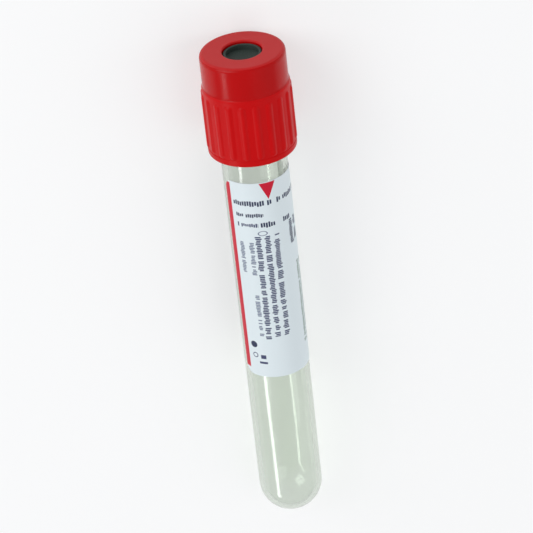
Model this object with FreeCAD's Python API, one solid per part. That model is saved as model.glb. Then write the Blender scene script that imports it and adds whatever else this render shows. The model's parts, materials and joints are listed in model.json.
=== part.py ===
import FreeCAD, Part
import math
import os

# A blood collection tube: a clear moulded tube with a closed round bottom, a rubber stopper in its
# mouth, a moulded shield over the stopper and the mouth, and a paper label.
#
# Each piece is built about the tube's own axis, in millimetres, with the axis along Z, the closed
# end at Z = 0, the closure at the top and +Y towards the front of the tube. lay_down then puts it
# where it comes to rest on its side, with the closure towards -Y and the front of the tube up.

# ---- driving dimensions ----

# tube
TUBE_LENGTH = 100.0
TUBE_OD = 13.0
TUBE_WALL = 1.0
TUBE_LIP_ROUND = 0.3

# closure shield: a skirt that hangs down round the tube, and a smooth band round the stopper's head
SKIRT_OVERLAP = 14.0           # how far the skirt reaches down the tube from its rim
SKIRT_CLEARANCE = 1.0          # between the tube and the inside of the skirt
SKIRT_WALL = 1.1
SKIRT_MOUTH_CHAMFER = 0.3
RIM_HEIGHT = 1.3               # plain lip round the skirt's lower edge
RIM_STAND_OUT = 0.1
RIM_ROUND = 0.3
RIB_COUNT = 20
RIB_HEIGHT = 0.3               # more than the rim's stand-out, as the lying tube rests on its ribs
RIB_ROUND = 0.8                # radius of a rib's back and of its two ends
BAND_WALL = 1.2
SHOULDER_DROP = 0.5            # sloped step from the skirt in to the band
TOP_WALL = 1.4
TOP_ROUND = 0.8
NEEDLE_HOLE_D = 7.8
NEEDLE_HOLE_CHAMFER = 0.3
LEDGE_THICKNESS = 0.5          # inside ledge that the stopper's head snaps over

# stopper
NECK_HEIGHT = 2.2              # from the tube's rim up to the head
NECK_CLEARANCE = 0.1           # between the neck and the ledge
NECK_SETBACK = 0.3             # the neck stands this far inside the tube's outside
HEAD_THICKNESS = 3.4
HEAD_STAND_OUT = 0.6           # beyond the tube's outside
HEAD_CLEARANCE = 0.05          # between the head and the inside of the band
HEAD_CHAMFER = 0.3
COLLAR_DROP = 0.5              # from the shield's top down to the collar that stands in its hole
COLLAR_CLEARANCE = 0.1         # between the collar and the hole's wall
WELL_D = 6.4                   # round well inside the collar, where the needle goes in
WELL_DEPTH = 1.0
WELL_DISH = 0.4                # how much deeper the middle of the well's floor is
PLUG_DEPTH = 8.5
PLUG_CLEARANCE = 0.05          # between the plug and the tube's bore
PLUG_LEAD = 1.0                # tapered lower end of the plug
PLUG_LEAD_SETBACK = 0.5
PLUG_HOLLOW_D = 6.8            # hollow in the plug's underside
PLUG_HOLLOW_DEPTH = 6.8
PLUG_HOLLOW_DOME = 1.6

# label
LABEL_LENGTH = 45.0
LABEL_WIDTH = 21.8             # round the tube
LABEL_THICKNESS = 0.1
LABEL_CORNER = 2.0
LABEL_DROP = 4.8               # from the skirt's lower edge down to the label
LABEL_TURN_DEG = 30.0          # the label's middle, turned this far round from the front

# ---- derived sizes ----

tube_r = TUBE_OD / 2
bore_r = tube_r - TUBE_WALL

head_r = tube_r + HEAD_STAND_OUT
head_bottom = TUBE_LENGTH + NECK_HEIGHT
head_top = head_bottom + HEAD_THICKNESS
neck_r = tube_r - NECK_SETBACK
plug_r = bore_r - PLUG_CLEARANCE
plug_bottom = TUBE_LENGTH - PLUG_DEPTH

skirt_bottom = TUBE_LENGTH - SKIRT_OVERLAP
skirt_bore_r = tube_r + SKIRT_CLEARANCE
skirt_r = skirt_bore_r + SKIRT_WALL
rim_r = skirt_r + RIM_STAND_OUT
band_bore_r = head_r + HEAD_CLEARANCE
band_r = band_bore_r + BAND_WALL
ledge_r = neck_r + NECK_CLEARANCE
shield_top = head_top + TOP_WALL
hole_r = NEEDLE_HOLE_D / 2
collar_r = hole_r - COLLAR_CLEARANCE
collar_top = shield_top - COLLAR_DROP
well_r = WELL_D / 2
well_floor = collar_top - WELL_DEPTH

rim_top = skirt_bottom + RIM_HEIGHT
rib_pitch_deg = 360 / RIB_COUNT
rib_centre_r = skirt_r + RIB_HEIGHT - RIB_ROUND

label_top = skirt_bottom - LABEL_DROP
label_bottom = label_top - LABEL_LENGTH
label_wrap_deg = math.degrees(LABEL_WIDTH / tube_r)

FLOOR_SIDE_DEG = -90           # the side that lies underneath, opposite the front


# ---- helpers ----

def at(radius, height):
    """A point of a turned piece's outline, in the plane Y = 0."""
    return FreeCAD.Vector(radius, 0, height)


def line(start, end):
    return Part.makeLine(start, end)


def quarter(start, centre, end):
    """A quarter-circle arc from start to end about centre."""
    radius = (start - centre).Length
    middle = centre + ((start - centre) + (end - centre)).normalize() * radius
    return Part.Arc(start, middle, end).toShape()


def turned(edges, sweep_deg=360):
    """The solid swept by a closed outline turning about Z."""
    face = Part.Face(Part.Wire(edges))
    return face.revolve(FreeCAD.Vector(0, 0, 0), FreeCAD.Vector(0, 0, 1), sweep_deg)


def outline(*steps):
    """A closed run of edges. A step is a point, or (centre, point) for a quarter round to that point."""
    edges = []
    here = steps[0]
    for step in steps[1:] + (steps[0],):
        if isinstance(step, tuple):
            centre, end = step
            edges.append(quarter(here, centre, end))
        else:
            end = step
            edges.append(line(here, end))
        here = end
    return edges


# ---- pieces, about the tube's own axis ----

def make_tube():
    lip_outer = tube_r - TUBE_LIP_ROUND
    lip_inner = bore_r + TUBE_LIP_ROUND
    lip_foot = TUBE_LENGTH - TUBE_LIP_ROUND
    bottom_centre = at(0, tube_r)
    return turned(outline(
        at(0, 0),
        (bottom_centre, at(tube_r, tube_r)),
        at(tube_r, lip_foot),
        (at(lip_outer, lip_foot), at(lip_outer, TUBE_LENGTH)),
        at(lip_inner, TUBE_LENGTH),
        (at(lip_inner, lip_foot), at(bore_r, lip_foot)),
        at(bore_r, tube_r),
        (bottom_centre, at(0, TUBE_WALL)),
    ))


def make_rib(angle_deg):
    """One upright rib on the skirt: half a round-ended bar, with its flat side sunk in the wall."""
    origin = FreeCAD.Vector(0, 0, 0)
    axis = FreeCAD.Vector(0, 0, 1)
    rib_top = TUBE_LENGTH - RIB_ROUND
    rib = turned(outline(
        at(0, rim_top),
        (at(0, rim_top + RIB_ROUND), at(RIB_ROUND, rim_top + RIB_ROUND)),
        at(RIB_ROUND, rib_top - RIB_ROUND),
        (at(0, rib_top - RIB_ROUND), at(0, rib_top)),
    ), 180)
    rib.rotate(origin, axis, -90)
    rib.translate(at(rib_centre_r, 0))
    rib.rotate(origin, axis, angle_deg)
    return rib


def make_shield():
    rim_edge = rim_r - RIM_ROUND
    top_edge = band_r - TOP_ROUND
    ledge_foot = head_bottom - LEDGE_THICKNESS
    cone_foot = ledge_foot - (skirt_bore_r - ledge_r)
    body = turned(outline(
        at(skirt_bore_r + SKIRT_MOUTH_CHAMFER, skirt_bottom),
        at(rim_edge, skirt_bottom),
        (at(rim_edge, skirt_bottom + RIM_ROUND), at(rim_r, skirt_bottom + RIM_ROUND)),
        at(rim_r, rim_top - RIM_STAND_OUT),
        at(skirt_r, rim_top),
        at(skirt_r, TUBE_LENGTH),
        at(band_r, TUBE_LENGTH + SHOULDER_DROP),
        at(band_r, shield_top - TOP_ROUND),
        (at(top_edge, shield_top - TOP_ROUND), at(top_edge, shield_top)),
        at(hole_r + NEEDLE_HOLE_CHAMFER, shield_top),
        at(hole_r, shield_top - NEEDLE_HOLE_CHAMFER),
        at(hole_r, head_top),
        at(band_bore_r, head_top),
        at(band_bore_r, head_bottom),
        at(ledge_r, head_bottom),
        at(ledge_r, ledge_foot),
        at(skirt_bore_r, cone_foot),
        at(skirt_bore_r, skirt_bottom + SKIRT_MOUTH_CHAMFER),
    ))
    ribs = [make_rib(FLOOR_SIDE_DEG + (k + 0.5) * rib_pitch_deg) for k in range(RIB_COUNT)]
    return body.multiFuse(ribs)


def make_stopper():
    hollow_r = PLUG_HOLLOW_D / 2
    hollow_top = plug_bottom + PLUG_HOLLOW_DEPTH
    edges = outline(
        at(0, well_floor - WELL_DISH),
        at(well_r, well_floor),
        at(well_r, collar_top),
        at(collar_r, collar_top),
        at(collar_r, head_top),
        at(head_r - HEAD_CHAMFER, head_top),
        at(head_r, head_top - HEAD_CHAMFER),
        at(head_r, head_bottom),
        at(neck_r, head_bottom),
        at(neck_r, TUBE_LENGTH),
        at(plug_r, TUBE_LENGTH),
        at(plug_r, plug_bottom + PLUG_LEAD),
        at(plug_r - PLUG_LEAD_SETBACK, plug_bottom),
        at(hollow_r, plug_bottom),
        at(hollow_r, hollow_top - PLUG_HOLLOW_DOME),
        at(0, hollow_top),
    )
    edges[0] = dished(well_r, well_floor - WELL_DISH, well_floor)
    edges[-2] = dished(hollow_r, hollow_top, hollow_top - PLUG_HOLLOW_DOME)
    return turned(edges)


def dished(radius, middle_height, edge_height):
    """Half the section of a round dish or dome, as one arc from the axis out to its edge."""
    middle = at(0, middle_height)
    edge = at(radius, edge_height)
    mirrored_edge = at(-radius, edge_height)
    circle = Part.Arc(mirrored_edge, middle, edge)
    return Part.Edge(circle, circle.parameter(middle), circle.parameter(edge))


def make_label():
    """A sheet rolled on the tube, open at the back, with its four corners rounded."""
    half_wrap = label_wrap_deg / 2
    outer_r = tube_r + LABEL_THICKNESS
    section = Part.Face(Part.makePolygon([
        at(tube_r, label_bottom),
        at(outer_r, label_bottom),
        at(outer_r, label_top),
        at(tube_r, label_top),
        at(tube_r, label_bottom),
    ]))
    axis = FreeCAD.Vector(0, 0, 1)
    origin = FreeCAD.Vector(0, 0, 0)
    sheet = section.revolve(origin, axis, label_wrap_deg)
    sheet.rotate(origin, axis, 90 + LABEL_TURN_DEG - half_wrap)
    for side in (-1, 1):
        edge_deg = 90 + LABEL_TURN_DEG + side * half_wrap
        sheet = sheet.cut(corner_offcut(edge_deg, -side, label_top, -1))
        sheet = sheet.cut(corner_offcut(edge_deg, -side, label_bottom, 1))
    return sheet


def corner_offcut(edge_deg, inward, end_height, into):
    """What is trimmed off one corner: a square block less a round of the corner's radius.

    inward is the turn from the sheet's side edge towards its middle (1 is counterclockwise from
    above), and into is the step from its end towards its middle (1 is up).
    """
    margin = LABEL_CORNER / 4
    depth = tube_r
    base_r = tube_r / 2
    block = Part.makeBox(depth, LABEL_CORNER + margin, LABEL_CORNER + margin)
    block.translate(FreeCAD.Vector(base_r, -margin, -margin))
    round_centre = FreeCAD.Vector(base_r, LABEL_CORNER, LABEL_CORNER)
    offcut = block.cut(Part.makeCylinder(LABEL_CORNER, depth, round_centre, FreeCAD.Vector(1, 0, 0)))
    if inward < 0:
        offcut = offcut.mirror(FreeCAD.Vector(0, 0, 0), FreeCAD.Vector(0, 1, 0))
    if into < 0:
        offcut = offcut.mirror(FreeCAD.Vector(0, 0, 0), FreeCAD.Vector(0, 0, 1))
    offcut.rotate(FreeCAD.Vector(0, 0, 0), FreeCAD.Vector(0, 0, 1), edge_deg)
    offcut.translate(FreeCAD.Vector(0, 0, end_height))
    return offcut


# ---- where it lies ----

def lean():
    """The angle between the lying tube's axis and the floor, in radians.

    The closed end touches the floor on its ball, of radius tube_r, and the skirt touches it on the
    rounded lower ends of the two ribs beside its lowest line. They stand out further than the
    tube, so the closure end lies higher.
    """
    rib_offset = rib_centre_r * math.cos(math.radians(rib_pitch_deg / 2))
    apart = rim_top + RIB_ROUND - tube_r
    return math.acos((tube_r - RIB_ROUND) / math.hypot(rib_offset, apart)) - math.atan2(apart, rib_offset)


def resting_place():
    """The placement that lays the tube down with the middle of its outline over the origin."""
    angle = lean()
    closed_end_reach = tube_r - tube_r * math.cos(angle)
    closure_reach = (
        (shield_top - TOP_ROUND) * math.cos(angle)
        + (band_r - TOP_ROUND) * math.sin(angle)
        + TOP_ROUND
    )
    shift = FreeCAD.Vector(0, (closure_reach - closed_end_reach) / 2, tube_r - tube_r * math.sin(angle))
    turn = FreeCAD.Rotation(FreeCAD.Vector(1, 0, 0), 90 - math.degrees(angle))
    return FreeCAD.Placement(shift, turn)


def lay_down(shape, place):
    laid = shape.copy()
    laid.Placement = place.multiply(shape.Placement)
    return laid


PIECES = {
    "tube": make_tube,
    "closure_shield": make_shield,
    "rubber_stopper": make_stopper,
    "label": make_label,
}


def build():
    os.makedirs("parts", exist_ok=True)
    place = resting_place()
    for name, make in PIECES.items():
        lay_down(make(), place).exportStep("parts/" + name + ".step")


build()
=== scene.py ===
import json
import math

import bmesh
import bpy
from mathutils import Matrix, Vector


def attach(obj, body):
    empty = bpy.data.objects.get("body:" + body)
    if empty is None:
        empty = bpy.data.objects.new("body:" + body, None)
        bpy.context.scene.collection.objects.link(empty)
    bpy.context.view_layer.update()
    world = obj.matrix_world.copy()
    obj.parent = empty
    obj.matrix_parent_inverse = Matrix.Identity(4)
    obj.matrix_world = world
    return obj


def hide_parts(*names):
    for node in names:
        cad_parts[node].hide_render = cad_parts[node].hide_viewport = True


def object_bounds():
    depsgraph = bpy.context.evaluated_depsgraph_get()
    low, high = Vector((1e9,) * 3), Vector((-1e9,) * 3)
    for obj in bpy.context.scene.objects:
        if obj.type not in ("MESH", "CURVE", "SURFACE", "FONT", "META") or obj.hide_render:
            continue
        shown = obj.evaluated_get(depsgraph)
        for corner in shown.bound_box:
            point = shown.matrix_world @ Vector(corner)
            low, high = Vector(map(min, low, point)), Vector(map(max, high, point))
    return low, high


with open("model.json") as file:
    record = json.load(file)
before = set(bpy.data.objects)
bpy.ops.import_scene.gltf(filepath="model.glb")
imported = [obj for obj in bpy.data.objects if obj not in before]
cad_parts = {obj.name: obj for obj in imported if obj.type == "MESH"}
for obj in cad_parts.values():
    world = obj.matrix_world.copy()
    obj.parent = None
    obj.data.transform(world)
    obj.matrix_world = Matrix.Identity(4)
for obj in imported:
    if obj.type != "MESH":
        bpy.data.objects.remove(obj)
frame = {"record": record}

# A clear plastic blood collection tube lying on its side on a pale floor: a round-bottomed tube, a
# red ribbed closure over a grey rubber stopper, and a white printed label.
#
# Shapes are in millimetres about the tube's own axis, as in the CAD model: r out from the axis and
# s along it from the closed end, with the closure at the top end and +Y towards the side that lies
# uppermost. STAND turns them into the row frame, in metres.

MM = 0.001

cad_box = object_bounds()
record = frame["record"]
mounts = {mount["name"]: mount for mount in record["mounts"]}
joint = record["behaviour"]["joints"][0]

# ---- sizes, in mm ----

TUBE_LENGTH = 100.0
TUBE_WALL = 1.0
TUBE_LIP_ROUND = 0.3

SKIRT_OVERLAP = 14.0           # how far the skirt hangs down over the tube
SKIRT_CLEARANCE = 1.0
SKIRT_WALL = 1.1
RIM_HEIGHT = 1.3
RIM_STAND_OUT = 0.1
RIM_ROUND = 0.3
RIM_SLOPE_END = 0.01           # the slope above the rim ends this far short of the rim's height
RIB_COUNT = 20
RIB_HEIGHT = 0.3
RIB_ROUND = 0.8
RIB_FOOT_BLEND = 0.3           # softens the corner between a rib and the skirt
SHOULDER_DROP = 0.5
SHOULDER_ROUND = 1.0
TOP_WALL = 1.4
TOP_ROUND = 0.8
HOLE_R = 3.9
HOLE_ROUND = 0.3
LEDGE_THICKNESS = 0.5
EDGE_ROUND = 0.1               # on edges that are sharp in the CAD model

NECK_HEIGHT = 2.2
NECK_SETBACK = 0.3
NECK_CLEARANCE = 0.1
HEAD_THICKNESS = 3.4
HEAD_STAND_OUT = 0.6
HEAD_CLEARANCE = 0.05
HEAD_TOP_ROUND = 0.3
HEAD_FOOT_ROUND = 0.2
COLLAR_DROP = 0.5              # from the shield's top down to the collar that stands in its hole
COLLAR_CLEARANCE = 0.1
COLLAR_ROUND = 0.25
WELL_DEPTH = 1.0
WELL_DISH = 0.4                # how much deeper the middle of the well's floor is
WELL_ROUND = 0.15
PLUG_DEPTH = 8.5
PLUG_CLEARANCE = 0.05
PLUG_LEAD = 1.0
PLUG_LEAD_SETBACK = 0.5
PLUG_LEAD_ROUND = 0.4
PLUG_END_ROUND = 0.2
HOLLOW_R = 3.4
HOLLOW_DEPTH = 6.8
HOLLOW_DOME = 1.6

LABEL_LENGTH = 45.0
LABEL_WIDTH = 21.8
LABEL_THICKNESS = 0.1
LABEL_CORNER = 2.0
LABEL_DROP = 4.8
LABEL_TURN_DEG = 30.0
LABEL_BOND = 0.01              # the back of the label lies this far into the tube's wall
BAKE_MARGIN = 0.6              # round each side of the label in the map that its print is baked through

tube_r = mounts["tube_outside"]["dims"]["r_mm"]
band_r = mounts["closure_band"]["dims"]["r_mm"]
well_r = mounts["needle_port"]["dims"]["r_mm"]
bore_r = tube_r - TUBE_WALL

skirt_bottom = TUBE_LENGTH - SKIRT_OVERLAP
skirt_bore_r = tube_r + SKIRT_CLEARANCE
skirt_r = skirt_bore_r + SKIRT_WALL
rim_r = skirt_r + RIM_STAND_OUT
rim_top = skirt_bottom + RIM_HEIGHT
rib_centre_r = skirt_r + RIB_HEIGHT - RIB_ROUND
rib_bottom = rim_top + RIB_ROUND
rib_top = TUBE_LENGTH - 2 * RIB_ROUND

head_r = tube_r + HEAD_STAND_OUT
head_bottom = TUBE_LENGTH + NECK_HEIGHT
head_top = head_bottom + HEAD_THICKNESS
neck_r = tube_r - NECK_SETBACK
plug_r = bore_r - PLUG_CLEARANCE
plug_bottom = TUBE_LENGTH - PLUG_DEPTH
band_bore_r = head_r + HEAD_CLEARANCE
ledge_r = neck_r + NECK_CLEARANCE
ledge_bottom = head_bottom - LEDGE_THICKNESS
shield_top = head_top + TOP_WALL
collar_r = HOLE_R - COLLAR_CLEARANCE
collar_top = shield_top - COLLAR_DROP
well_floor = collar_top - WELL_DEPTH

label_top = skirt_bottom - LABEL_DROP

# ---- how finely the meshes are made ----

ARC_STEP = 0.35                # the longest step round a rounded corner, in mm
FEWEST_ARC_STEPS = 4
BOWL_STEPS = 16
TUBE_GAP = 0.6                 # for dense(), in mm
SHIELD_GAP = 0.4
STOPPER_GAP = 0.5
TUBE_SIDES = 192
STOPPER_SIDES = 128
SIDES_PER_RIB = 24
RIB_END_ROWS = 8
LABEL_FLAT_STEPS = 48
LABEL_CORNER_STEPS = 10
LABEL_ROWS = 60
SMOOTH_DEG = 35                # a sharper edge than this stays hard
ON_AXIS = 1e-6                 # a radius under this is the axis
SAME_R = 1e-4                  # radii nearer than this are the same

# ---- the tube's own axis in the row frame ----

up_tube = Vector(joint["axis"]).normalized()       # from the closed end to the closure
side = Vector((1, 0, 0))
front = up_tube.cross(side)                        # the side that lies uppermost
closed_end = Vector(mounts["tube_outside"]["pos_m"]) - up_tube * (TUBE_LENGTH / 2 * MM)


def turned(x, y, z):
    """The turn that takes the three axes to these directions."""
    return Matrix((x, y, z)).transposed().to_4x4()


STAND = Matrix.Translation(closed_end) @ turned(side, front, up_tube) @ Matrix.Scale(MM, 4)


# ---- outlines ----

def dense(points, gap):
    """The points, with more on each straight run that is longer than two gaps.

    The run is cut into equal parts of three gaps at most, with one more point a quarter gap from each
    of its ends.
    """
    result = []
    for here, there in zip(points, points[1:] + points[:1]):
        result.append(here)
        run = math.dist(here, there)
        if run < 2 * gap:
            continue
        end = gap / 4 / run
        parts = math.ceil(run / (3 * gap))
        stops = [end, *(k / parts for k in range(1, parts)), 1 - end]
        result += [tuple(a + (b - a) * t for a, b in zip(here, there)) for t in stops]
    return result


def rounded(corners):
    """A closed outline of (r, s) points from corners (r, s, radius), each rounded to its radius."""
    points = []
    for k, (r, s, radius) in enumerate(corners):
        corner = Vector((r, s))
        if not radius:
            points.append((r, s))
            continue
        before = (Vector(corners[k - 1][:2]) - corner).normalized()
        after = (Vector(corners[(k + 1) % len(corners)][:2]) - corner).normalized()
        half = before.angle(after) / 2
        reach = radius / math.tan(half)
        centre = corner + (before + after).normalized() * (radius / math.sin(half))
        start = corner + before * reach - centre
        end = corner + after * reach - centre
        turn = math.pi - 2 * half
        steps = max(FEWEST_ARC_STEPS, math.ceil(turn * radius / ARC_STEP))
        for i in range(steps + 1):
            t = i / steps
            spoke = (start * math.sin((1 - t) * turn) + end * math.sin(t * turn)) / math.sin(turn)
            points.append(tuple(centre + spoke))
    return points


def bowl(radius, edge_s, middle_s):
    """Corners, with no rounding, of a round dish or dome from the axis out to its edge."""
    depth = middle_s - edge_s
    curve = (radius ** 2 + depth ** 2) / (2 * depth)
    centre_s = middle_s - curve
    wide = math.asin(radius / curve)
    turns = [wide * k / BOWL_STEPS for k in range(BOWL_STEPS + 1)]
    return [(curve * math.sin(t), centre_s + curve * math.cos(t), 0) for t in turns]


def trim_axis(points):
    """The points, less those on the axis that have no neighbour off it."""
    off = [r > ON_AXIS for r, _ in points]
    return [point for k, point in enumerate(points) if off[k - 1] or off[k] or off[(k + 1) % len(points)]]


# ---- meshes ----

def finished(name, verts, faces):
    """A mesh object made of a piece's own points, in the row frame, smooth but for its hard edges."""
    mesh = bpy.data.meshes.new(name)
    mesh.from_pydata([STAND @ Vector(v) for v in verts], [], faces)
    work = bmesh.new()
    work.from_mesh(mesh)
    bmesh.ops.recalc_face_normals(work, faces=work.faces)
    work.to_mesh(mesh)
    work.free()
    mesh.shade_smooth()
    mesh.set_sharp_from_angle(angle=math.radians(SMOOTH_DEG))
    piece = bpy.data.objects.new(name, mesh)
    bpy.context.scene.collection.objects.link(piece)
    return piece


def lathe(name, outline, segments, radius_at=None):
    """The solid swept by an outline about the axis. radius_at(r, s, angle) can swell it here and there."""
    verts = []
    rings = []
    for r, s in outline:
        if r < ON_AXIS:
            rings.append([len(verts)] * segments)
            verts.append((0, 0, s))
            continue
        rings.append(list(range(len(verts), len(verts) + segments)))
        for k in range(segments):
            angle = 2 * math.pi * k / segments
            reach = radius_at(r, s, angle) if radius_at else r
            verts.append((reach * math.cos(angle), reach * math.sin(angle), s))
    faces = []
    for low, high in zip(rings, rings[1:] + rings[:1]):
        for k in range(segments):
            n = (k + 1) % segments
            corners = dict.fromkeys((low[k], low[n], high[n], high[k]))
            if len(corners) > 2:
                faces.append(tuple(corners))
    return finished(name, verts, faces)


def make_tube():
    """The tube: a round closed end, a plain wall and a rounded lip."""
    outline = rounded([
        (0, 0, 0),
        (tube_r, 0, tube_r),
        (tube_r, TUBE_LENGTH, TUBE_LIP_ROUND),
        (bore_r, TUBE_LENGTH, TUBE_LIP_ROUND),
        (bore_r, TUBE_WALL, bore_r),
        (0, TUBE_WALL, 0),
    ])
    return lathe("clear_tube", trim_axis(dense(outline, TUBE_GAP)), TUBE_SIDES)


def ribbed(r, s, angle):
    """The skirt's radius at an angle, with the ribs standing out of it and rounded off at both ends."""
    if r < skirt_r - SAME_R or not rim_top < s < TUBE_LENGTH - RIB_ROUND:
        return r
    pitch = 2 * math.pi / RIB_COUNT
    off = (angle + math.pi / 2) % pitch - pitch / 2
    past_end = max(rib_bottom - s, s - rib_top, 0)
    round_here = RIB_ROUND ** 2 - past_end ** 2 - (rib_centre_r * math.sin(off)) ** 2
    if round_here <= 0:
        return r
    rib = rib_centre_r * math.cos(off) + math.sqrt(round_here)
    closeness = max(RIB_FOOT_BLEND - abs(rib - r), 0) / RIB_FOOT_BLEND
    return max(rib, r) + closeness ** 2 * RIB_FOOT_BLEND / 4


def make_shield():
    """The shield: a plain rim, the ribbed skirt, the smooth band, the holed top, and a ledge inside."""
    turns = [math.pi / 2 * k / RIB_END_ROWS for k in range(1, RIB_END_ROWS + 1)]
    reaches = [RIB_ROUND * math.sin(t) for t in turns]
    rib_rows = [rib_bottom - reach for reach in reaches[::-1]] + [rib_top + reach for reach in reaches]
    outline = rounded([
        (skirt_bore_r, skirt_bottom, RIM_ROUND),
        (rim_r, skirt_bottom, RIM_ROUND),
        (rim_r, rim_top - RIM_STAND_OUT, EDGE_ROUND / 2),
        (skirt_r, rim_top - RIM_SLOPE_END, 0),
        *[(skirt_r, s, 0) for s in rib_rows],
        (skirt_r, TUBE_LENGTH, SHOULDER_ROUND),
        (band_r, TUBE_LENGTH + SHOULDER_DROP, SHOULDER_ROUND),
        (band_r, shield_top, TOP_ROUND),
        (HOLE_R, shield_top, HOLE_ROUND),
        (HOLE_R, head_top, EDGE_ROUND),
        (band_bore_r, head_top, EDGE_ROUND),
        (band_bore_r, head_bottom, EDGE_ROUND),
        (ledge_r, head_bottom, EDGE_ROUND),
        (ledge_r, ledge_bottom, EDGE_ROUND),
        (skirt_bore_r, ledge_bottom - (skirt_bore_r - ledge_r), EDGE_ROUND),
    ])
    return lathe("red_closure_shield", dense(outline, SHIELD_GAP), RIB_COUNT * SIDES_PER_RIB, ribbed)


def make_stopper():
    """The stopper: a well in its collar, the head, the neck, and a plug with a hollow underside."""
    hollow_top = plug_bottom + HOLLOW_DEPTH
    corners = bowl(well_r, well_floor, well_floor - WELL_DISH) + [
        (well_r, collar_top, WELL_ROUND),
        (collar_r, collar_top, COLLAR_ROUND),
        (collar_r, head_top, EDGE_ROUND),
        (head_r, head_top, HEAD_TOP_ROUND),
        (head_r, head_bottom, HEAD_FOOT_ROUND),
        (neck_r, head_bottom, EDGE_ROUND),
        (neck_r, TUBE_LENGTH, EDGE_ROUND),
        (plug_r, TUBE_LENGTH, EDGE_ROUND),
        (plug_r, plug_bottom + PLUG_LEAD, PLUG_LEAD_ROUND),
        (plug_r - PLUG_LEAD_SETBACK, plug_bottom, PLUG_END_ROUND),
        (HOLLOW_R, plug_bottom, PLUG_END_ROUND),
    ] + bowl(HOLLOW_R, hollow_top - HOLLOW_DOME, hollow_top)[::-1]
    return lathe("rubber_stopper_full", trim_axis(dense(rounded(corners), STOPPER_GAP)), STOPPER_SIDES)


# ---- the label's mesh: a grid of columns across it and rows down it ----

label_half = LABEL_WIDTH / 2
label_flat = label_half - LABEL_CORNER             # from the middle line to where the corners start


def label_columns():
    """How far each column stands from the label's middle line, closest together at the corners."""
    turns = [math.pi / 2 * k / LABEL_CORNER_STEPS for k in range(LABEL_CORNER_STEPS + 1)]
    flank = [label_flat + LABEL_CORNER * math.sin(t) for t in turns]
    inner = [label_flat * (2 * k / LABEL_FLAT_STEPS - 1) for k in range(1, LABEL_FLAT_STEPS)]
    return [-u for u in flank[::-1]] + inner + flank


def corner_cut(u):
    """How much the label's rounded corners take off each end of the column at u."""
    past = max(abs(u) - label_flat, 0)
    return LABEL_CORNER - math.sqrt(max(LABEL_CORNER ** 2 - past ** 2, 0))


def grown(u, v, by):
    """A place on the label when the whole label's outline is grown by a length."""
    centre = LABEL_LENGTH / 2
    return u * (1 + 2 * by / LABEL_WIDTH), centre + (v - centre) * (1 + by / centre)


def sheet_faces(index, last):
    """The label's faces: its back and its front, then the two bands round its edge.

    index gives a point's number from its layer, column and row, and last is the last column.
    """
    faces = []
    for layer in (0, 2):
        for i in range(last):
            for j in range(LABEL_ROWS):
                faces.append((index[layer, i, j], index[layer, i + 1, j],
                              index[layer, i + 1, j + 1], index[layer, i, j + 1]))
    border = ([(i, 0) for i in range(last)] + [(last, j) for j in range(LABEL_ROWS)]
              + [(i, LABEL_ROWS) for i in range(last, 0, -1)] + [(0, j) for j in range(LABEL_ROWS, 0, -1)])
    for here, there in zip(border, border[1:] + border[:1]):
        for layer in (0, 1):
            faces.append((index[layer, *here], index[layer, *there],
                          index[layer + 1, *there], index[layer + 1, *here]))
    return faces


def map_label(mesh, places, unfolded, back_count):
    """Gives the label its two maps, and its back, the first back_count faces, the second material.

    label_mm holds u and v. OFBake is the map that the print is baked through: the front with the
    edges round it, and the back beside it.
    """
    print_map = mesh.uv_layers.new(name="label_mm")
    for loop in mesh.loops:
        print_map.data[loop.index].uv = places[loop.vertex_index]
    bake_map = mesh.uv_layers.new(name="OFBake")
    bake_side = LABEL_LENGTH + 2 * BAKE_MARGIN
    bake_half = label_half + BAKE_MARGIN
    for face in mesh.polygons:
        is_back = face.index < back_count
        face.material_index = 1 if is_back else 0
        for loop in face.loop_indices:
            vertex = mesh.loops[loop].vertex_index
            u, v = places[vertex] if is_back else unfolded[vertex]
            middle = 3 * bake_half if is_back else bake_half
            bake_map.data[loop].uv = ((u + middle) / bake_side, (v + BAKE_MARGIN) / bake_side)


def make_label():
    """The label: a thin sheet round the tube with rounded corners.

    u runs round the tube from the label's middle line, to the right as the label reads, and v down
    from its upper edge, both in mm. The grid has three layers: the back, the foot of the bevelled
    edge, and the front. The middle one has only its border, since no face uses the rest.
    """
    columns = label_columns()
    last = len(columns) - 1
    bevel = LABEL_THICKNESS / 3
    front_r = tube_r + LABEL_THICKNESS
    layers = [(tube_r - LABEL_BOND, 0), (front_r - bevel, 0), (front_r, bevel)]
    verts = []
    places = []
    unfolded = []
    index = {}
    for layer, (r, inset) in enumerate(layers):
        margin = BAKE_MARGIN * (2 - layer) / 3
        for i, u in enumerate(columns):
            cut = corner_cut(u)
            for j in range(LABEL_ROWS + 1):
                if layer == 1 and 0 < i < last and 0 < j < LABEL_ROWS:
                    continue
                v = cut + (LABEL_LENGTH - 2 * cut) * j / LABEL_ROWS
                place = grown(u, v, -inset)
                angle = math.radians(90 + LABEL_TURN_DEG) + place[0] / tube_r
                index[layer, i, j] = len(verts)
                verts.append((r * math.cos(angle), r * math.sin(angle), label_top - place[1]))
                places.append(place)
                unfolded.append(grown(u, v, margin))
    piece = finished("printed_label", verts, sheet_faces(index, last))
    map_label(piece.data, places, unfolded, last * LABEL_ROWS)
    return piece


# ---- materials ----

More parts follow.
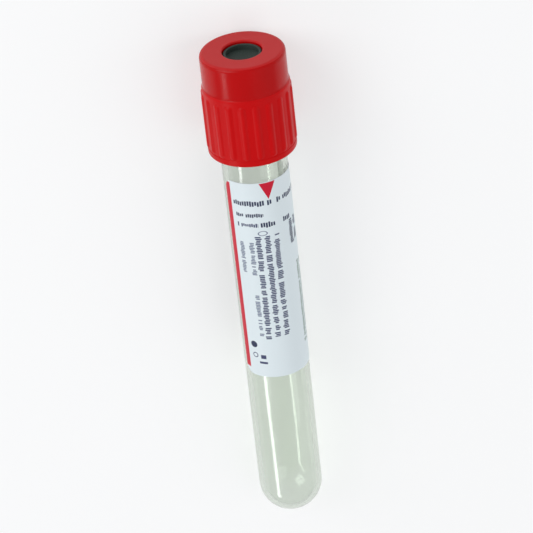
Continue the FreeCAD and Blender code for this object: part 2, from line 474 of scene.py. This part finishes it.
class Nodes:
    """The nodes of a material or a world, built by short calls. Most of them return a socket."""

    def __init__(self, owner):
        owner.use_nodes = True
        self.tree = owner.node_tree
        self.tree.nodes.clear()

    def feed(self, socket, value):
        """Links a socket to the value, or sets the value on it."""
        if isinstance(value, bpy.types.NodeSocket):
            self.tree.links.new(value, socket)
        else:
            socket.default_value = value

    def node(self, kind, inputs=None, **settings):
        node = self.tree.nodes.new("ShaderNode" + kind)
        for key, value in settings.items():
            setattr(node, key, value)
        for key, value in (inputs or {}).items():
            self.feed(node.inputs[key], value)
        return node

    def math(self, operation, *values):
        node = self.node("Math", operation=operation)
        for socket, value in zip(node.inputs, values):
            self.feed(socket, value)
        return node.outputs[0]

    def between(self, x, low, high):
        return self.math("MULTIPLY", self.math("GREATER_THAN", x, low), self.math("LESS_THAN", x, high))

    def all_of(self, *masks):
        result = masks[0]
        for mask in masks[1:]:
            result = self.math("MULTIPLY", result, mask)
        return result

    def any_of(self, *masks):
        result = masks[0]
        for mask in masks[1:]:
            result = self.math("MAXIMUM", result, mask)
        return result

    def blend(self, share, first, second):
        """A shader that is the first where share is 0 and the second where it is 1."""
        return self.node("MixShader", {0: share, 1: first.outputs[0], 2: second.outputs[0]}).outputs[0]


class Shader(Nodes):
    """A material and its nodes."""

    def __init__(self, name):
        self.material = bpy.data.materials.new(name)
        super().__init__(self.material)

    def mixed(self, factor, a, b):
        """The colour a where factor is 0, and b where it is 1."""
        node = self.node("Mix", data_type="RGBA")
        inputs = [socket for socket in node.inputs if socket.enabled]
        for socket, value in zip(inputs, (factor, a, b)):
            self.feed(socket, value)
        return next(socket for socket in node.outputs if socket.enabled)

    def noise(self, size_mm, detail=2.0, vector=None):
        """Noise from 0 to 1, whose grains are about size_mm across."""
        where = vector or self.node("TexCoord").outputs["Object"]
        node = self.node("TexNoise", {"Vector": where, "Scale": 1 / (size_mm * MM), "Detail": detail})
        return node.outputs["Fac"]

    def chance(self, x, y, z):
        """The node of one random colour and value for each whole place."""
        place = self.node("CombineXYZ", {0: x, 1: y, 2: z}).outputs[0]
        return self.node("TexWhiteNoise", {"Vector": place}, noise_dimensions="3D")

    def spread(self, value, low, high):
        """A 0 to 1 value, respread from low to high."""
        return self.math("MULTIPLY_ADD", value, high - low, low)

    def bump(self, height, depth_mm, strength):
        node = self.node("Bump", {"Height": height, "Distance": depth_mm * MM, "Strength": strength})
        return node.outputs["Normal"]

    def surface(self, inputs):
        """Ends the material with a Principled surface."""
        principled = self.node("BsdfPrincipled", inputs)
        return self.end(principled.outputs[0])

    def end(self, surface, volume=None):
        output = self.node("OutputMaterial", {"Surface": surface})
        if volume:
            self.feed(output.inputs["Volume"], volume)
        return self.material


def red_plastic(name, colour, shade, roughness, specular):
    """Moulded polypropylene: a satin gloss with faint flow marks and a fine grain."""
    shader = Shader(name)
    flow = shader.noise(6, detail=3)
    grain = shader.noise(0.35)
    height = shader.math("MULTIPLY_ADD", grain, 0.35, shader.noise(2.2))
    return shader.surface({
        "Base Color": shader.mixed(flow, colour, shade),
        "Roughness": shader.spread(flow, roughness - 0.04, roughness + 0.06),
        "Specular IOR Level": specular,
        "Normal": shader.bump(height, 0.02, 0.35),
    })


def clear_plastic():
    """Clear moulded polyester: a slight grey-green tint, and faint streaks that run along the tube.

    It takes in a little light with depth, so that its edges are darker. Lamps' light passes it, so its
    shadow is faint.
    """
    shader = Shader("clear_plastic")
    coordinates = shader.node("TexCoord").outputs["Object"]
    along = shader.node("VectorMath", {0: coordinates, 1: (1, 0.06, 1)}, operation="MULTIPLY").outputs[0]
    streaks = shader.noise(2.5, vector=along)
    glass = shader.node("BsdfPrincipled", {
        "Base Color": shader.mixed(streaks, (0.91, 0.925, 0.91, 1), (0.89, 0.905, 0.89, 1)),
        "Roughness": shader.spread(streaks, 0.015, 0.045),
        "IOR": 1.57,
        "Transmission Weight": 1.0,
        "Normal": shader.bump(streaks, 0.03, 0.3),
    })
    through = shader.node("BsdfTransparent", {"Color": (0.90, 0.915, 0.90, 1)})
    shadow_ray = shader.node("LightPath").outputs["Is Shadow Ray"]
    depth = shader.node("VolumeAbsorption", {"Color": (0.82, 0.86, 0.80, 1), "Density": 560.0})
    return shader.end(shader.blend(shadow_ray, glass, through), depth.outputs[0])


def clear_lip():
    """The end of the wall at the mouth: opaque, with a pale colour that is painted light.

    It stands in for the light that clear plastic gathers there.
    """
    shader = Shader("clear_lip")
    mottle = shader.noise(0.8)
    return shader.surface({
        # painted light: the pale colour stands for light gathered in the wall
        "Base Color": shader.mixed(mottle, (0.50, 0.56, 0.51, 1), (0.40, 0.46, 0.41, 1)),
        "Roughness": shader.spread(mottle, 0.08, 0.16),
        "IOR": 1.57,
    })


def grey_rubber():
    """Moulded butyl rubber, matt, with fine specks."""
    shader = Shader("grey_rubber")
    specks = shader.math("GREATER_THAN", shader.noise(0.12, detail=1), 0.62)
    cloud = shader.noise(1.5, detail=3)
    base = shader.mixed(cloud, (0.020, 0.033, 0.027, 1), (0.030, 0.046, 0.038, 1))
    return shader.surface({
        "Base Color": shader.mixed(specks, base, (0.050, 0.068, 0.060, 1)),
        "Specular IOR Level": 0.3,
        "Roughness": shader.spread(cloud, 0.5, 0.65),
        "Normal": shader.bump(shader.noise(0.2), 0.02, 0.4),
    })


PAPER = (0.715, 0.79, 0.82, 1)
PAPER_SHADE = 0.96             # how bright the paper's fibres are beside the rest of it
INK = (0.022, 0.030, 0.078, 1)
THIN_INK = (0.045, 0.055, 0.130, 1)
GREY_INK = (0.17, 0.20, 0.28, 1)
GREEN_INK = (0.22, 0.29, 0.25, 1)
RED_INK = (0.56, 0.004, 0.026, 1)

SHORTEST_BAR = 0.48            # the height of the shortest bars in a row, as a share of the tallest
BAR_FILL = 0.74                # how much of its place in the row a bar fills
ROW_KEY = 7.5                  # keeps the chances of rows apart from those of bars


class Print:
    """Generic print in the label's own millimetres: boxes, dots, rings, a triangle and rows of bars."""

    def __init__(self, shader):
        self.shader = shader
        uv = shader.node("UVMap", uv_map="label_mm").outputs[0]
        parts = shader.node("SeparateXYZ", {0: uv})
        self.u, self.v = parts.outputs[0], parts.outputs[1]

    def box(self, left, right, top, bottom):
        return self.shader.all_of(self.shader.between(self.u, left, right),
                                  self.shader.between(self.v, top, bottom))

    def distance(self, u, v, wide=1.0):
        """How far each place is from (u, v), with lengths along u divided by wide."""
        shader = self.shader
        across = shader.math("DIVIDE", shader.math("SUBTRACT", self.u, u), wide)
        down = shader.math("SUBTRACT", self.v, v)
        square = shader.math("MULTIPLY_ADD", across, across, shader.math("MULTIPLY", down, down))
        return shader.math("SQRT", square)

    def dot(self, u, v, radius):
        return self.shader.math("LESS_THAN", self.distance(u, v), radius)

    def ring(self, u, v, radius, line, wide=1.0):
        return self.shader.between(self.distance(u, v, wide), radius - line, radius)

    def pointer(self, u, top, width, height):
        """A triangle that points down the label."""
        shader = self.shader
        down = shader.math("SUBTRACT", self.v, top)
        room = shader.math("MULTIPLY_ADD", down, -width / 2 / height, width / 2)
        across = shader.math("ABSOLUTE", shader.math("SUBTRACT", self.u, u))
        return shader.all_of(shader.between(down, 0, height), shader.math("LESS_THAN", across, room))

    def rows(self, left, top, length, count, pitch, tall, seed,
             upright=False, ragged=0.0, cell=0.42, gaps=0.16):
        """Rows of small bars, broken up as words are. Upright rows run down the label.

        left and top are the corner where the first row starts, and pitch is from a row to the next.
        Each row is up to length long, and ragged is the most that one may lack of it, as a share.
        tall is the tallest bar's height, cell the length from a bar to the next, and gaps the share of
        bars left out. Each bar reaches its own way above and below the row's line, and spells nothing.
        """
        shader = self.shader
        along, across = (self.v, self.u) if upright else (self.u, self.v)
        start, first = (top, left) if upright else (left, top)
        run = shader.math("SUBTRACT", along, start)
        row_place = shader.math("DIVIDE", shader.math("SUBTRACT", across, first), pitch)
        row = shader.math("FLOOR", row_place)
        cell_place = shader.math("DIVIDE", run, cell)
        bar_chance = shader.chance(shader.math("FLOOR", cell_place), row, float(seed))
        chances = shader.node("SeparateXYZ", {0: bar_chance.outputs["Color"]}).outputs
        row_chance = shader.chance(row, float(seed), ROW_KEY).outputs["Value"]
        printed = shader.math("GREATER_THAN", chances[0], gaps)
        off_row = shader.math("SUBTRACT", shader.math("FRACT", row_place), 0.5)
        most = tall / pitch / 2
        above, below = (shader.spread(chances[k], SHORTEST_BAR * most, most) for k in (1, 2))
        in_bar = shader.all_of(shader.math("LESS_THAN", off_row, above),
                               shader.math("GREATER_THAN", shader.math("ADD", off_row, below), 0))
        in_cell = shader.math("LESS_THAN", shader.math("FRACT", cell_place), BAR_FILL)
        row_end = shader.spread(row_chance, length * (1 - ragged), length)
        inside = shader.all_of(shader.math("GREATER_THAN", run, 0), shader.math("LESS_THAN", run, row_end),
                               shader.between(row_place, 0, count))
        return shader.all_of(printed, in_bar, in_cell, inside)


def label_paper():
    """Smooth white paper with generic print."""
    shader = Shader("label_paper")
    fibre = shader.noise(0.25, detail=4)
    page = Print(shader)
    red = shader.any_of(
        page.box(-label_half, -label_half + 1.4, 0.5, LABEL_LENGTH - 1.5),
        page.pointer(-1.5, 0.15, 3.3, 3.7),
    )
    dark = shader.any_of(
        page.rows(-8.9, 3.9, 16.8, 1, 1.3, 1.3, seed=1, cell=0.5, gaps=0.08),
        page.rows(-8.5, 6.7, 5.6, 1, 1.0, 0.95, seed=2),
        page.rows(-3.6, 8.8, 3.0, 1, 1.3, 1.3, seed=3, cell=0.5, gaps=0.05),
        page.rows(1.2, 8.8, 2.0, 1, 1.3, 1.3, seed=9, cell=0.5, gaps=0.05),
        page.rows(2.4, 10.4, 5.6, 2, 1.7, 1.5, seed=5, upright=True, ragged=0.1, gaps=0.08),
        page.dot(-7.9, 37.5, 0.75),
    )
    thin = shader.any_of(
        page.rows(-8.4, 8.8, 4.3, 1, 1.2, 0.95, seed=8),
        page.rows(-5.35, 12.0, 24.2, 3, 1.85, 1.35, seed=4, upright=True, ragged=0.05, cell=0.4, gaps=0.1),
        page.ring(-7.8, 40.0, 0.6, 0.18),
        page.box(-6.6, -5.5, 39.8, 40.7),
        page.box(-7.0, -5.3, 41.4, 41.9),
    )
    faint = shader.any_of(
        page.rows(-9.0, 13.4, 7.6, 2, 2.1, 1.15, seed=6, upright=True, ragged=0.2, cell=0.36, gaps=0.08),
        page.rows(-6.5, 25.6, 9.6, 1, 1.2, 1.1, seed=10, upright=True, cell=0.36, gaps=0.25),
        page.ring(-3.4, 11.3, 0.55, 0.14, wide=1.8),
    )
    green = page.rows(3.9, 20.5, 19.5, 2, 1.3, 1.2, seed=7, upright=True, ragged=0.04, gaps=0.1)
    colour = shader.mixed(fibre, PAPER, (*(PAPER_SHADE * part for part in PAPER[:3]), 1))
    for mask, ink in ((green, GREEN_INK), (faint, GREY_INK), (thin, THIN_INK), (dark, INK), (red, RED_INK)):
        colour = shader.mixed(mask, colour, ink)
    return shader.surface({
        "Base Color": colour,
        "Specular IOR Level": 0.35,
        "Roughness": shader.spread(fibre, 0.42, 0.52),
        "Normal": shader.bump(fibre, 0.01, 0.3),
    })


def label_back():
    """The unprinted side of the label, which shows through the clear tube. Light soaks through it.

    Its colour is the paper's, made lighter than the printed side with painted light, for the light that
    reaches it inside the tube.
    """
    shader = Shader("label_back")
    fibre = shader.noise(0.4, detail=4)
    return shader.surface({
        # painted light: the back is lighter than the printed side's paper
        "Base Color": shader.mixed(fibre, (0.87, 0.88, 0.89, 1), (0.83, 0.84, 0.85, 1)),
        "Roughness": shader.spread(fibre, 0.5, 0.65),
        "Subsurface Weight": 1.0,
        "Subsurface Radius": (1, 1, 1),
        "Subsurface Scale": 0.3 * MM,
    })


# ---- the object ----

def add(piece, materials, node, body):
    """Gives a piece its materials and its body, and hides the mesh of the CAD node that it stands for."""
    for material in materials:
        piece.data.materials.append(material)
    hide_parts(node)
    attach(piece, body)


def paint(piece, starts):
    """Gives the piece its next finish above each of these heights along the tube."""
    down = STAND.inverted()
    for face in piece.data.polygons:
        s = (down @ face.center).z
        face.material_index = sum(s > start for start in starts)


tube = make_tube()
add(tube, [clear_plastic(), clear_lip()], "tube", "tube_with_label")
paint(tube, [TUBE_LENGTH - TUBE_LIP_ROUND / 2])

shield = make_shield()
shield_finishes = [
    red_plastic("red_skirt", (0.56, 0.003, 0.004, 1), (0.50, 0.002, 0.003, 1), 0.34, 0.12),
    # The band is the skirt's plastic; its darker red is painted shade, for the darker reflections that the
    # band shows.
    red_plastic("red_band", (0.47, 0.002, 0.003, 1), (0.42, 0.002, 0.002, 1), 0.22, 0.16),
    red_plastic("red_top", (0.54, 0.009, 0.010, 1), (0.49, 0.007, 0.008, 1), 0.42, 0.2),
]
add(shield, shield_finishes, "closure_shield", "closure")
paint(shield, [TUBE_LENGTH + SHOULDER_DROP / 2, shield_top - HOLE_ROUND])

stopper = make_stopper()
add(stopper, [grey_rubber()], "rubber_stopper", "closure")

label = make_label()
add(label, [label_paper(), label_back()], "label", "tube_with_label")


# ---- floor, light and camera ----

FLOOR_REACH = 3.0              # from the middle of the floor to its sides, in metres
WHITENING = 0.5                # how far the floor is brought to plain white where it is looked at
VIEW_DEG = 27.0                # how far above the plane of the closure's top the camera stands
VIEW_DISTANCE = 0.56           # from the closure's top, in metres
VIEW_ANGLE_DEG = 10.4
LEAN_DEG = 6.5                 # the tube's lean in the picture, with its closed end to the right

low, high = (Vector(corner) for corner in cad_box)
aim = (low + high) / 2         # where the lamps point


def make_floor():
    """A plain pale floor that keeps the object's shadow."""
    mesh = bpy.data.meshes.new("floor")
    corners = [(x * FLOOR_REACH, y * FLOOR_REACH, 0) for x, y in ((-1, -1), (1, -1), (1, 1), (-1, 1))]
    mesh.from_pydata(corners, [], [(0, 1, 2, 3)])
    floor = bpy.data.objects.new("floor", mesh)
    bpy.context.scene.collection.objects.link(floor)
    shader = Shader("pale_floor")
    lit = shader.node("BsdfPrincipled", {
        "Base Color": (0.90, 0.905, 0.91, 1),
        "Roughness": 0.7,
        "Specular IOR Level": 0.2,
    })
    white = shader.node("Emission", {"Color": (1, 1, 1, 1), "Strength": 1.0})
    path = shader.node("LightPath").outputs
    looked_at = shader.any_of(path["Is Camera Ray"], path["Is Glossy Ray"], path["Is Transmission Ray"])
    share = shader.math("MULTIPLY", looked_at, WHITENING)
    mesh.materials.append(shader.end(shader.blend(share, lit, white)))


def make_world():
    """Soft light from all round, and plain white where the world itself is seen."""
    world = bpy.data.worlds.new("studio")
    bpy.context.scene.world = world
    nodes = Nodes(world)
    lit = nodes.node("Background", {"Color": (0.95, 0.97, 1.0, 1), "Strength": 0.45})
    white = nodes.node("Background", {"Color": (1, 1, 1, 1), "Strength": 1.0})
    path = nodes.node("LightPath").outputs
    seen = nodes.any_of(path["Is Camera Ray"], path["Is Transmission Ray"])
    nodes.node("OutputWorld", {"Surface": nodes.blend(seen, lit, white)})


def make_lamp(name, direction, distance, size, power, reflected=True):
    """A soft rectangular lamp that points at the object. Sizes are in metres and power in watts."""
    data = bpy.data.lights.new(name, "AREA")
    data.shape = "RECTANGLE"
    data.size, data.size_y = size
    data.energy = power
    lamp = bpy.data.objects.new(name, data)
    direction = direction.normalized()
    lamp.location = aim + direction * distance
    lamp.rotation_euler = direction.to_track_quat("Z", "Y").to_euler()
    lamp.visible_glossy = reflected
    bpy.context.scene.collection.objects.link(lamp)


def make_camera():
    """The camera, which looks down on the object. Returns the picture's right and upward directions."""
    data = bpy.data.cameras.new("camera")
    data.angle = math.radians(VIEW_ANGLE_DEG)
    data.clip_start = 0.01
    camera = bpy.data.objects.new("camera", data)
    above = math.radians(VIEW_DEG)
    closure_top = closed_end + up_tube * (shield_top * MM)
    stand = closure_top + (front * math.cos(above) + up_tube * math.sin(above)) * VIEW_DISTANCE
    far_rim = closure_top - front * (band_r * MM)
    back = ((stand - far_rim).normalized() + (stand - closed_end).normalized()).normalized()
    upward = (up_tube - back * up_tube.dot(back)).normalized()
    right = upward.cross(back)
    lean = math.radians(LEAN_DEG)
    upward = upward * math.cos(lean) + right * math.sin(lean)
    right = upward.cross(back)
    camera.matrix_world = Matrix.Translation(stand) @ turned(right, upward, back)
    bpy.context.scene.collection.objects.link(camera)
    bpy.context.scene.camera = camera
    return right, upward


make_floor()
make_world()
right, upward = make_camera()
up = Vector((0, 0, 1))
make_lamp("key", up - right * 0.9 + upward * 0.6, distance=0.9, size=(0.65, 0.65), power=4.0)
make_lamp("fill", up + right * 1.1 - upward * 0.1, distance=1.1, size=(1.2, 1.2), power=6.0,
          reflected=False)
make_lamp("strip", up * 0.5 - right * 0.7 - up_tube * 0.52, distance=0.8, size=(0.6, 0.1), power=1.1)

bpy.context.scene.view_settings.view_transform = "Standard"
